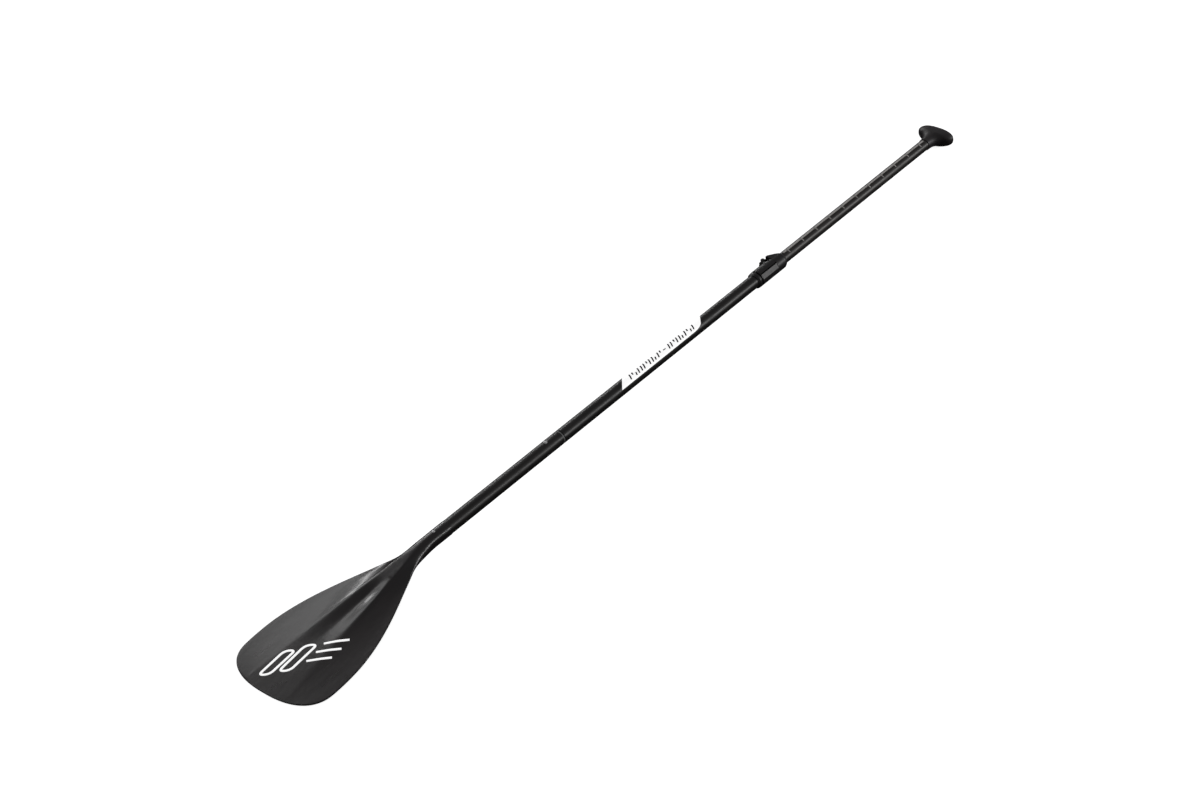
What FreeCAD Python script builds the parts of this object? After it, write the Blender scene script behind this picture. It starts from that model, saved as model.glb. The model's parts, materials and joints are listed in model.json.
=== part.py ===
"""Adjustable single-blade stand-up paddle, as a parametric FreeCAD document.

Frame: +X runs along the shaft towards the grip, +Z is square to the blade's front face, +Y completes the
right hand. The origin is on the shaft's axis, at the lower end of the middle tube. Millimetres.
Angles round the shaft are measured from +Y towards +Z, so 90 degrees is the front of the paddle.
"""
import FreeCAD, Part
import math
import os

import Sketcher
from FreeCAD import Placement, Rotation, Vector

doc = FreeCAD.newDocument("Paddle")
sheet = doc.addObject("Spreadsheet::Sheet", "Sizes")

# ---------------------------------------------------------------- driving dimensions
DRIVING = {
    # tubes
    "tube_radius": 14.5,
    "tube_wall": 1.2,
    "upper_radius": 12.7,
    "upper_wall": 1.2,
    "running_gap": 0.06,
    # blade
    "blade_length": 427,
    "blade_half_width": 110.7,
    "blade_rim": 3.2,
    "blade_bend": 4.5,
    "neck_radius": 15,
    "neck_length": 54,
    # lower section
    "lower_length": 320.5,
    "sleeve_wall": 1.5,
    "neck_sleeve_in": 60,
    "neck_sleeve_out": 50,
    "neck_rivet_place": 34,
    "float_inset": 62,
    "float_length": 170,
    # plug-in joint
    "seal_width": 4.5,
    "seal_groove": 1.9,
    "joint_sleeve_in": 85,
    "joint_sleeve_out": 30,
    "joint_rivet_place": 16,
    "button_place": -43,
    "button_radius": 4,
    "button_travel": 4,
    "spring_width": 7,
    "spring_gauge": 0.8,
    # label
    "label_start": 175,
    "label_end": 457,
    "label_thickness": 0.12,
    "label_corner": 52,
    # clamp
    "clamp_start": 624,
    "clamp_end": 723,
    "seat_relief": 0.2,
    "clamp_radius": 18,
    "band_radius": 16.2,
    "collar_length": 8.5,
    "groove_width": 4,
    "groove_radius": 15.1,
    "lip_length": 8.4,
    "flat_height": 17.2,
    "channel_radius": 15.3,
    "slit_width": 2,
    "recess_start": 638,
    "recess_end": 692,
    "pivot_place_y": 19.8,
    "pivot_place_z": 8,
    "barrel_radius": 2.8,
    "cam_radius": 4.3,
    "cam_offset": 0.5,
    "screw_place": 684.5,
    "screw_radius": 1.6,
    "knob_radius": 4.7,
    "knob_height": 4.4,
    "arm_start": 677,
    "lever_gap": 0.3,
    "lever_inner": 16.45,
    "lever_outer": 18.2,
    "fin_start": 693.2,
    "fin_end": 713,
    "fin_reach": 26.8,
    "ear_reach": 24.8,
    "ear_depth": 8.2,
    # upper section
    "bushing_start": 660,
    "upper_start": 560,
    "upper_end": 1301,
    "plug_start": 543,
    "ring_width": 10.8,
    "ring_seat": 11,
    # grip
    "grip_start": 1269,
    "grip_height": 64,
    "grip_half_width": 44.5,
    "grip_half_depth": 18,
    "rivet_shank": 2,
    "rivet_head": 3.2,
}

for row, (alias, number) in enumerate(DRIVING.items(), start=1):
    sheet.set(f"A{row}", alias)
    sheet.set(f"B{row}", str(number))
    sheet.setAlias(f"B{row}", alias)
doc.recompute()


class Size:
    """A length that knows both its value and the spreadsheet expression that gives it."""

    def __init__(self, value, text):
        self.value = value
        self.text = text

    def _joined(self, other, sign, value):
        text = other.text if isinstance(other, Size) else repr(other)
        return Size(value, f"({self.text} {sign} {text})")

    def __add__(self, other):
        return self._joined(other, "+", self.value + number_of(other))

    def __sub__(self, other):
        return self._joined(other, "-", self.value - number_of(other))

    def __mul__(self, other):
        return self._joined(other, "*", self.value * number_of(other))

    def __neg__(self):
        return self * -1


def number_of(length):
    return length.value if isinstance(length, Size) else float(length)


def cell(alias):
    """The driving dimension with this alias."""
    return Size(float(sheet.get(alias)), f"Sizes.{alias}")


def bind(obj, prop, length):
    """Sets a property and ties it to the sheet."""
    if isinstance(length, Size):
        obj.setExpression(prop, length.text)
    elif not prop.startswith("."):
        setattr(obj, prop, length)


# sizes that several pieces share
TUBE = cell("tube_radius")
TUBE_BORE = TUBE - cell("tube_wall")
SEAT = TUBE - cell("seat_relief")
UPPER = cell("upper_radius")
UPPER_BORE = UPPER - cell("upper_wall")
GAP = cell("running_gap")
SLEEVE = TUBE_BORE - GAP
SLEEVE_BORE = SLEEVE - cell("sleeve_wall")
LOWER_END = -cell("seal_width")
NECK = LOWER_END - cell("lower_length")
MIDDLE_START = Size(0.0, "0")
CLAMP_START = cell("clamp_start")
CLAMP_END = cell("clamp_end")
LIP_START = CLAMP_END - cell("lip_length")
FLANGE = 1.5
MIDDLE_END = LIP_START - FLANGE
HALF_SLIT = cell("slit_width") * 0.5
PIVOT_Y = cell("pivot_place_y")
PIVOT_Z = cell("pivot_place_z")
SCREW_X = cell("screw_place")
EAR_TOP = PIVOT_Z - cell("cam_radius") - cell("cam_offset") - 0.05
SCREW_HOLE_GAP = 0.1
RECESS_FROM = 8
RECESS_TO = 130
LEVER_FROM = 30
LEVER_TO = 121
FIN_ANGLE = 45
FLAT_ANGLE = 147
FRONT = 90
BACK = 270


# ---------------------------------------------------------------- building blocks
def new_body(label):
    body = doc.addObject("PartDesign::Body", label)
    body.Label = label
    return body


def new_sketch(body, name, plane, offset=0.0, turn=0.0):
    """A sketch on one of the body's own origin planes, moved along its normal and turned about its X axis."""
    sketch = body.newObject("Sketcher::SketchObject", name)
    support = next(f for f in body.Origin.OriginFeatures if f.Role == plane)
    sketch.AttachmentSupport = (support, [""])
    sketch.MapMode = "FlatFace"
    turned = Rotation(Vector(1, 0, 0), turn)
    along = turned.multVec(Vector(0, 0, 1))
    sketch.AttachmentOffset = Placement(along * number_of(offset), turned)
    if isinstance(offset, Size):
        for axis, share in zip("yz", (along.y, along.z)):
            if abs(share) > 1e-9:
                sketch.setExpression(f".AttachmentOffset.Base.{axis}", (offset * share).text)
    return sketch


def hold(sketch, kind, refs, length):
    """Adds a dimension to a sketch and ties it to the sheet."""
    value = number_of(length)
    if value == 0 and kind in ("DistanceX", "DistanceY"):
        axis = -2 if kind == "DistanceX" else -1
        sketch.addConstraint(Sketcher.Constraint("PointOnObject", refs[2], refs[3], axis))
        return
    index = sketch.addConstraint(Sketcher.Constraint(kind, *refs, value))
    if isinstance(length, Size):
        sketch.setExpression(f"Constraints[{index}]", length.text)


def polygon(sketch, corners):
    """Draws a closed outline through corners, each an (across, up) pair of lengths."""
    points = [Vector(number_of(x), number_of(y), 0) for x, y in corners]
    first = sketch.GeometryCount
    count = len(points)
    for i in range(count):
        sketch.addGeometry(Part.LineSegment(points[i], points[(i + 1) % count]))
    for i in range(count):
        following = first + (i + 1) % count
        sketch.addConstraint(Sketcher.Constraint("Coincident", first + i, 2, following, 1))
    for i, (x, y) in enumerate(corners):
        hold(sketch, "DistanceX", (-1, 1, first + i, 1), x)
        hold(sketch, "DistanceY", (-1, 1, first + i, 1), y)


def circle(sketch, x, y, radius):
    centre = Vector(number_of(x), number_of(y), 0)
    index = sketch.addGeometry(Part.Circle(centre, Vector(0, 0, 1), number_of(radius)))
    hold(sketch, "Radius", (index,), radius)
    hold(sketch, "DistanceX", (-1, 1, index, 3), x)
    hold(sketch, "DistanceY", (-1, 1, index, 3), y)


def ring_sector(sketch, inner, outer, start, end):
    """Draws the part of a ring round the origin between two angles in degrees."""
    a0, a1 = math.radians(start), math.radians(end)
    axis = Vector(0, 0, 1)
    arcs = []
    for radius in (inner, outer):
        ring = Part.Circle(Vector(0, 0, 0), axis, number_of(radius))
        arcs.append(sketch.addGeometry(Part.ArcOfCircle(ring, a0, a1)))
    ends = []
    for angle in (a0, a1):
        ray = Vector(math.cos(angle), math.sin(angle), 0)
        line = Part.LineSegment(ray * number_of(inner), ray * number_of(outer))
        ends.append(sketch.addGeometry(line))
    for arc, radius in zip(arcs, (inner, outer)):
        sketch.addConstraint(Sketcher.Constraint("Coincident", arc, 3, -1, 1))
        hold(sketch, "Radius", (arc,), radius)
    for line, corner, angle in zip(ends, (1, 2), (a0, a1)):
        sketch.addConstraint(Sketcher.Constraint("Coincident", line, 1, arcs[0], corner))
        sketch.addConstraint(Sketcher.Constraint("Coincident", line, 2, arcs[1], corner))
        sketch.addConstraint(Sketcher.Constraint("Angle", line, angle))


def feature(body, kind, name, sketch):
    made = body.newObject(f"PartDesign::{kind}", name)
    made.Profile = sketch
    return made


def spin(body, name, sketch, axis="H_Axis", kind="Revolution"):
    made = feature(body, kind, name, sketch)
    made.ReferenceAxis = (sketch, [axis])
    made.Angle = 360
    doc.recompute()
    return made


def pad(body, name, sketch, length, both_ways=False):
    made = feature(body, "Pad", name, sketch)
    made.SideType = "Symmetric" if both_ways else "One side"
    bind(made, "Length", length)
    doc.recompute()
    return made


def pocket(body, name, sketch, length, both_ways=False):
    """Cuts along the sketch's normal, or both ways from it."""
    made = feature(body, "Pocket", name, sketch)
    made.SideType = "Symmetric" if both_ways else "One side"
    made.Reversed = not both_ways
    bind(made, "Length", length)
    doc.recompute()
    return made


def tube(label, start, end, outer, inner):
    """A length of tube on the shaft's axis."""
    body = new_body(label)
    wall = new_sketch(body, f"{label}_wall", "XZ_Plane")
    polygon(wall, [(start, inner), (end, inner), (end, outer), (start, outer)])
    spin(body, f"{label}_turned", wall)
    return body


def radial_hole(body, name, x, angle, radius):
    """Drills from the axis outwards at an angle round the shaft."""
    face = new_sketch(body, f"{name}_mark", "XY_Plane", turn=angle - FRONT)
    circle(face, x, 0, radius)
    pocket(body, name, face, TUBE * 2)


def slit(body, name, start, end, reach):
    """Saws a slit through the wall on the +Y side."""
    kerf = new_sketch(body, f"{name}_kerf", "XY_Plane", offset=-HALF_SLIT)
    polygon(kerf, [(start, 5), (end, 5), (end, reach), (start, reach)])
    pocket(body, name, kerf, cell("slit_width"))


def solid_feature(label, shape, placement=None):
    """A sub-part whose shape is worked out in code."""
    made = doc.addObject("Part::Feature", label)
    made.Label = label
    made.Shape = shape
    made.Placement = placement or Placement()
    return made


def rod(name, radius, length, base, direction):
    """A Part cylinder bound to the sheet. base is (x, y, z) and direction a unit vector."""
    made = doc.addObject("Part::Cylinder", name)
    bind(made, "Radius", radius)
    bind(made, "Height", length)
    made.Placement.Rotation = Rotation(Vector(0, 0, 1), direction)
    for axis, place in zip("xyz", base):
        if isinstance(place, Size):
            made.setExpression(f"Placement.Base.{axis}", place.text)
        else:
            setattr(made.Placement.Base, axis, place)
    return made


def cut(label, base, tool):
    made = doc.addObject("Part::Cut", label)
    made.Label = label
    made.Base = base
    made.Tool = tool
    return made


# ---------------------------------------------------------------- rivets
def rivet_shape(reach):
    """A domed blind rivet standing on z = 0, with its shank reaching down through the wall."""
    shank = number_of(cell("rivet_shank")) - 0.02
    head = number_of(cell("rivet_head"))
    brim, rise = 0.7, 0.85
    crown = brim + rise
    dome_radius = (head * head + rise * rise) / (2 * rise)
    haunch = Vector(head / 2, 0, crown - dome_radius + math.sqrt(dome_radius ** 2 - head * head / 4))
    outline = Part.Wire([
        Part.makeLine(Vector(0, 0, -reach), Vector(shank, 0, -reach)),
        Part.makeLine(Vector(shank, 0, -reach), Vector(shank, 0, 0)),
        Part.makeLine(Vector(shank, 0, 0), Vector(head, 0, 0)),
        Part.makeLine(Vector(head, 0, 0), Vector(head, 0, brim)),
        Part.Arc(Vector(head, 0, brim), haunch, Vector(0, 0, crown)).toShape(),
        Part.makeLine(Vector(0, 0, crown), Vector(0, 0, -reach)),
    ])
    return Part.Face(outline).revolve(Vector(), Vector(0, 0, 1), 360)


def rivet_group(label, places, surface, tip):
    """Equal rivets in one node, from a surface radius in to a tip radius. places holds (x, angle) pairs."""
    rivets = []
    for x, angle in places:
        turned = Rotation(Vector(1, 0, 0), angle - FRONT)
        one = rivet_shape(surface - tip)
        one.Placement = Placement(Vector(x, 0, 0) + turned.multVec(Vector(0, 0, surface)), turned)
        rivets.append(one)
    if len(rivets) == 1:
        return solid_feature(label, rivet_shape(surface - tip), rivets[0].Placement)
    return solid_feature(label, Part.makeCompound(rivets))


# ---------------------------------------------------------------- blade
def smooth(value, low, high):
    """0 below low, 1 above high and a smooth step between."""
    share = min(max((value - low) / (high - low), 0.0), 1.0)
    return share * share * (3 - 2 * share)


def rail(points, tangent=None):
    """A smooth curve through points at even parameters. tangent is its direction where it leaves the first point."""
    last = len(points) - 1
    curve = Part.BSplineCurve()
    settings = {"Points": points, "Parameters": [i / last for i in range(last + 1)]}
    if tangent:
        settings["InitialTangent"] = tangent * (points[1] - points[0]).Length * last
        settings["FinalTangent"] = -tangent * (points[-1] - points[-2]).Length * last
        settings["Scale"] = False
    curve.interpolate(**settings)
    return curve


def run_lengths(points):
    """Distance run along a chain of points, as shares of the whole."""
    runs = [0.0]
    for a, b in zip(points, points[1:]):
        runs.append(runs[-1] + (b - a).Length)
    return [run / runs[-1] for run in runs]


def skin(rows, tangents):
    """A smooth face through rows of points. Each row leaves its first point along its tangent."""
    rails = [rail(row, tangent) for row, tangent in zip(rows, tangents)]
    stations = run_lengths([row[0] for row in rows])
    poles = []
    for column in zip(*(one.getPoles() for one in rails)):
        lengthwise = Part.BSplineCurve()
        lengthwise.interpolate(Points=list(column), Parameters=stations)
        poles.append(lengthwise.getPoles())
    surface = Part.BSplineSurface()
    surface.buildFromPolesMultsKnots(
        poles, rails[0].getMultiplicities(), lengthwise.getMultiplicities(),
        rails[0].getKnots(), lengthwise.getKnots(), False, False, 3, 3)
    return surface.toShape()


def shell_of_halves(sections):
    """A solid between a front and a back face that meet at the rim.

    Each section is (front profile, back profile, place, up): the profiles are (across, height) points from the
    middle to the rim, place puts one of them in space and up is the section's own upward direction.
    """
    faces = []
    for side, sign in ((0, 1), (1, -1)):
        rows = []
        tangents = []
        for section in sections:
            profile, place, up = section[side], section[2], section[3]
            left = [place(-across, height) for across, height in reversed(profile)]
            right = [place(across, height) for across, height in profile[1:]]
            rows.append(left + right)
            tangents.append(up * sign)
        faces.append(skin(rows, tangents))
        if side == 0:
            fronts = (rail(rows[0], tangents[0]), rail(rows[-1], tangents[-1]))
        else:
            backs = (rail(rows[0], tangents[0]), rail(rows[-1], tangents[-1]))
    for front, back in zip(fronts, backs):
        faces.append(Part.Face(Part.Wire([front.toShape(), back.toShape()])))
    shell = Part.Shell(faces)
    shell.sewShape()
    solid = Part.Solid(shell)
    if solid.Volume < 0:
        solid.reverse()
    return solid


def blade_centre(run):
    """Point on the blade's middle line at this run past the pivot, and its slope."""
    bend = math.radians(number_of(cell("blade_bend")))
    pivot = number_of(NECK - cell("neck_length"))
    ease = 20.0
    radius = 2 * ease / bend
    if run <= -ease:
        return pivot - run, 0.0, 0.0
    turned = bend * (min(run, ease) + ease) / (2 * ease)
    x = pivot + ease - radius * math.sin(turned)
    z = -radius * (1 - math.cos(turned))
    rest = max(run - ease, 0.0)
    return x - rest * math.cos(turned), z - rest * math.sin(turned), turned


def blade_outline():
    """(run, half width) of each section: a smooth swell from the neck, then a blunt rounded tip."""
    length = number_of(cell("blade_length"))
    widest = number_of(cell("blade_half_width"))
    neck = number_of(cell("neck_radius"))
    shoulder = 0.829 * length
    swell = [(-number_of(cell("neck_length")), neck), (-26, neck), (-4, neck), (18, 1.13 * neck)]
    shares = (0.204, 0.307, 0.416, 0.523, 0.627, 0.723, 0.809, 0.881, 0.938, 0.977, 0.996)
    for i, share in enumerate(shares, start=2):
        swell.append((i * length / 16, share * widest))
    swell.append((shoulder, widest))
    squareness = 2 / 2.5
    for angle in (16, 32, 46, 58, 68, 76, 82, 86.5):
        t = math.radians(angle)
        run = shoulder + (length - shoulder) * math.sin(t) ** squareness
        swell.append((run, widest * math.cos(t) ** squareness))
    return swell


def front_height(across, width, run, length, rim):
    """Height of the blade's front face: two ridges that spread from the neck, with a valley between."""
    ridge = 4 + 0.1 * run
    tall = (number_of(cell("neck_radius")) - rim / 2) * max(1 - run / length, 0.0) ** 1.1
    if across <= ridge:
        valley = 0.55 * smooth(run, 112, 160) * (1 - smooth(run, 200, 0.86 * length))
        return rim / 2 + tall * (1 - valley * (1 - across / ridge))
    fall = (across - ridge) / max(width - ridge, 1.0)
    return rim / 2 + tall * max(1 - fall, 0.0) ** 1.7


def back_height(across, run, length, rim):
    """Height of the blade's back face: one rounded spine that fades out."""
    reach = 0.72 * length
    tall = (number_of(cell("neck_radius")) - rim / 2) * max(1 - run / reach, 0.0) ** 1.4
    spread = 13 + 0.09 * run
    return rim / 2 + tall * math.exp(-((across / spread) ** 2))


def half_profile(height, width, run, rim, neck):
    """Half a section from middle to rim: a quarter circle at the neck that turns into the blade's shape."""
    blend = smooth(run, 0, 105)
    flat = width - 2.0
    ridge = min(4 + 0.1 * max(run, 0), 0.6 * flat)
    steps = [0.0, 0.5 * ridge, ridge]
    steps += [ridge + (flat - ridge) * share for share in (0.14, 0.32, 0.54, 0.78, 1.0)]
    shape = [(across, height(across)) for across in steps]
    shape += [(width - 0.55, 0.36 * rim), (width, 0.0)]
    count = len(shape) - 1
    profile = []
    for i, (across, up) in enumerate(shape):
        turn = math.radians(90 * i / count)
        round_across, round_up = width * math.sin(turn), neck * math.cos(turn)
        profile.append((
            round_across + blend * (across - round_across),
            round_up + blend * (up - round_up),
        ))
    return profile


def blade_shape():
    length = number_of(cell("blade_length"))
    rim = number_of(cell("blade_rim"))
    neck = number_of(cell("neck_radius"))
    sections = []
    for run, width in blade_outline():
        x, z, slope = blade_centre(run)
        along = max(run, 0.0)
        upward = Vector(-math.sin(slope), 0, math.cos(slope))

        def place(across, height, centre=Vector(x, 0, z), upward=upward):
            return centre + upward * height + Vector(0, across, 0)

        front = half_profile(
            lambda a: front_height(a, width, along, length, rim), width, run, rim, neck)
        back = half_profile(lambda a: back_height(a, along, length, rim), width, run, rim, neck)
        sections.append((front, [(a, -up) for a, up in back], place, upward))
    shape = shell_of_halves(sections)
    bore = number_of(TUBE_BORE)
    mouth = number_of(NECK)
    depth = number_of(cell("neck_sleeve_in")) + 2
    shape = shape.cut(Part.makeCylinder(bore, depth + 5, Vector(mouth + 5, 0, 0), Vector(-1, 0, 0)))
    hole = number_of(cell("rivet_shank"))
    place_x = mouth - number_of(cell("neck_rivet_place"))
    return shape.cut(Part.makeCylinder(hole, 40, Vector(place_x, 0, -20)))


solid_feature("blade", blade_shape())

# ---------------------------------------------------------------- lower section
NECK_RIVET_X = NECK - cell("neck_rivet_place")
neck_ferrule = tube(
    "neck_ferrule", NECK - cell("neck_sleeve_in"), NECK + cell("neck_sleeve_out"), SLEEVE, SLEEVE_BORE)
for side in (FRONT, BACK):
    radial_hole(neck_ferrule, f"neck_ferrule_hole_{side}", NECK_RIVET_X, side, cell("rivet_shank"))

neck_places = [(NECK_RIVET_X.value, side) for side in (FRONT, BACK)]
RIVET_TAIL = 1.6
sleeve_tip = number_of(SLEEVE_BORE) - RIVET_TAIL
rivet_group("neck_rivets", neck_places, number_of(cell("neck_radius")) + 0.02, sleeve_tip)

lower_shaft = tube("lower_shaft", NECK, LOWER_END, TUBE, TUBE_BORE)
radial_hole(lower_shaft, "button_hole", cell("button_place"), FRONT, cell("button_radius") + SCREW_HOLE_GAP)

float_start = NECK + cell("float_inset")
float_plug = rod("float_plug", SLEEVE, cell("float_length"), (float_start, 0, 0), Vector(1, 0, 0))
float_plug.Label = "float_plug"

# ---------------------------------------------------------------- plug-in joint
joint_ferrule = tube(
    "joint_ferrule", LOWER_END - cell("joint_sleeve_in"), MIDDLE_START + cell("joint_sleeve_out"),
    SLEEVE, SLEEVE_BORE)
radial_hole(joint_ferrule, "ferrule_button_hole", cell("button_place"), FRONT, cell("button_radius") + 0.05)

joint_seal = new_body("joint_seal")
seal_half = new_sketch(joint_seal, "seal_half", "XZ_Plane")
groove_start = MIDDLE_START - cell("seal_groove")
polygon(seal_half, [
    (LOWER_END, TUBE_BORE), (MIDDLE_START, TUBE_BORE), (MIDDLE_START, TUBE - 0.9),
    (groove_start, TUBE - 0.9), (groove_start, TUBE - 0.5), (groove_start - 0.3, TUBE - 0.2),
    (LOWER_END, TUBE - 0.2),
])
spin(joint_seal, "seal_turned", seal_half)

JOINT_RIVET_X = MIDDLE_START + cell("joint_rivet_place")
HIDDEN_SIDES = (0, BACK)
for side in HIDDEN_SIDES:
    radial_hole(joint_ferrule, f"joint_ferrule_hole_{side}", JOINT_RIVET_X, side, cell("rivet_shank"))


def flush_rivets(label, places, surface, tip):
    """Rivets ground off level with the tube's wall, so that they pass through a clip or cradle."""
    shank = number_of(cell("rivet_shank")) - 0.02
    rivets = []
    for x, angle in places:
        turned = Rotation(Vector(1, 0, 0), angle - FRONT)
        one = Part.makeCylinder(shank, surface - tip, Vector(0, 0, tip))
        one.Placement = Placement(Vector(x, 0, 0), turned)
        rivets.append(one)
    return solid_feature(label, Part.makeCompound(rivets))


joint_places = [(JOINT_RIVET_X.value, side) for side in HIDDEN_SIDES]
flush_rivets("joint_rivets", joint_places, number_of(TUBE), sleeve_tip)


def make_snap_button():
    """Domed button with a flange that stops it inside the ferrule."""
    radius = cell("button_radius")
    flange_top = SLEEVE_BORE - 1.6
    flange_bottom = flange_top - 1.2
    shoulder = TUBE + 1.1
    body = new_body("snap_button")
    half = new_sketch(body, "button_half", "XZ_Plane")
    polygon(half, [
        (0, flange_bottom), (radius + 1.5, flange_bottom), (radius + 1.5, flange_top), (radius, flange_top),
        (radius, shoulder), (radius - 1.6, shoulder + 0.9), (0, shoulder + 1.1),
    ])
    spin(body, "button_turned", half, axis="V_Axis")
    body.setExpression("Placement.Base.x", cell("button_place").text)
    return body


make_snap_button()


def make_snap_spring():
    """A strip bent into a V: one leg lies on the ferrule's floor, the other carries the button."""
    middle = number_of(cell("button_place"))
    half_wide = number_of(cell("spring_width")) / 2
    gauge = number_of(cell("spring_gauge"))
    bore = number_of(SLEEVE_BORE)
    floor = -math.sqrt(bore * bore - half_wide * half_wide) + gauge / 2 + 0.05
    seat = number_of(SLEEVE_BORE - 1.6 - 1.2) - gauge / 2 - 0.05
    bend = 4.0
    bend_x = middle - 34
    leg_up = Vector(middle - 7, 0, seat)
    corner = Vector(bend_x, 0, floor + bend)
    slope = math.atan2(leg_up.z - corner.z - bend, leg_up.x - corner.x)
    touch = Vector(corner.x - bend * math.sin(slope), 0, corner.z + bend * math.cos(slope))
    path = Part.Wire([
        Part.makeLine(Vector(middle + 16, 0, floor), Vector(bend_x, 0, floor)),
        Part.Arc(Vector(bend_x, 0, floor), Vector(bend_x - bend, 0, corner.z), touch).toShape(),
        Part.makeLine(touch, leg_up),
        Part.makeLine(leg_up, Vector(middle + 6, 0, seat)),
    ])
    strip = path.makeOffset2D(gauge / 2, join=0, fill=True, openResult=False)
    face = strip.Faces[0]
    face.translate(Vector(0, -half_wide, 0))
    shape = face.extrude(Vector(0, 2 * half_wide, 0))
    return solid_feature("snap_spring", shape)


make_snap_spring()

# ---------------------------------------------------------------- middle tube and label
middle_shaft = new_body("middle_shaft")
middle_wall = new_sketch(middle_shaft, "middle_wall", "XZ_Plane")
SEAT_START = CLAMP_START - 0.5
polygon(middle_wall, [
    (MIDDLE_START, TUBE_BORE), (MIDDLE_END, TUBE_BORE), (MIDDLE_END, SEAT), (SEAT_START, SEAT),
    (SEAT_START, TUBE), (MIDDLE_START, TUBE),
])
spin(middle_shaft, "middle_turned", middle_wall)
for side in HIDDEN_SIDES:
    radial_hole(middle_shaft, f"middle_hole_{side}", JOINT_RIVET_X, side, cell("rivet_shank"))
slit(middle_shaft, "tube_slot", cell("recess_start") + 3, MIDDLE_END + 1, TUBE + 2)
COLLAR_SCREW_X = CLAMP_START + 5.2
radial_hole(middle_shaft, "collar_screw_pilot", COLLAR_SCREW_X, BACK, cell("rivet_shank"))


def make_label():
    """A thin wrap on the front of the tube, with one slanted end and one rounded corner."""
    inner = number_of(TUBE)
    outer = number_of(TUBE + cell("label_thickness"))
    start, end = number_of(cell("label_start")), number_of(cell("label_end"))
    corner = number_of(cell("label_corner"))
    edge = outer * math.sin(math.radians(60))
    start_slant = 31.0
    end_slant = 22.0
    bend = Vector(end - end_slant, 5 - edge, 0)
    rounding = Part.BezierCurve()
    rounding.setPoles([Vector(end - corner, -edge, 0), Vector(end - end_slant - 5, -edge, 0), bend])
    corners = [bend, Vector(end, edge, 0), Vector(start + start_slant, edge, 0),
               Vector(start, -edge, 0), Vector(end - corner, -edge, 0)]
    edges = [Part.makeLine(corners[i], corners[i + 1]) for i in range(4)]
    outline = Part.Face(Part.Wire(edges + [rounding.toShape()]))
    wrap = Part.makeCylinder(outer, end - start, Vector(start, 0, 0), Vector(1, 0, 0))
    wrap = wrap.cut(Part.makeCylinder(inner, end - start, Vector(start, 0, 0), Vector(1, 0, 0)))
    return solid_feature("shaft_label", wrap.common(outline.extrude(Vector(0, 0, outer + 5))))


make_label()


# ---------------------------------------------------------------- clamp
def tangent_tip(reach, radius, angle):
    """Triangle from a far tip at an angle to the two points where its sides touch a circle, slightly blunted."""
    spread = math.degrees(math.acos(radius / reach))
    tip = reach - 0.9
    corners = [(tip, angle - 2.2), (radius, angle - spread), (radius, angle + spread), (tip, angle + 2.2)]
    return [(r * math.cos(math.radians(a)), r * math.sin(math.radians(a))) for r, a in corners]


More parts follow.
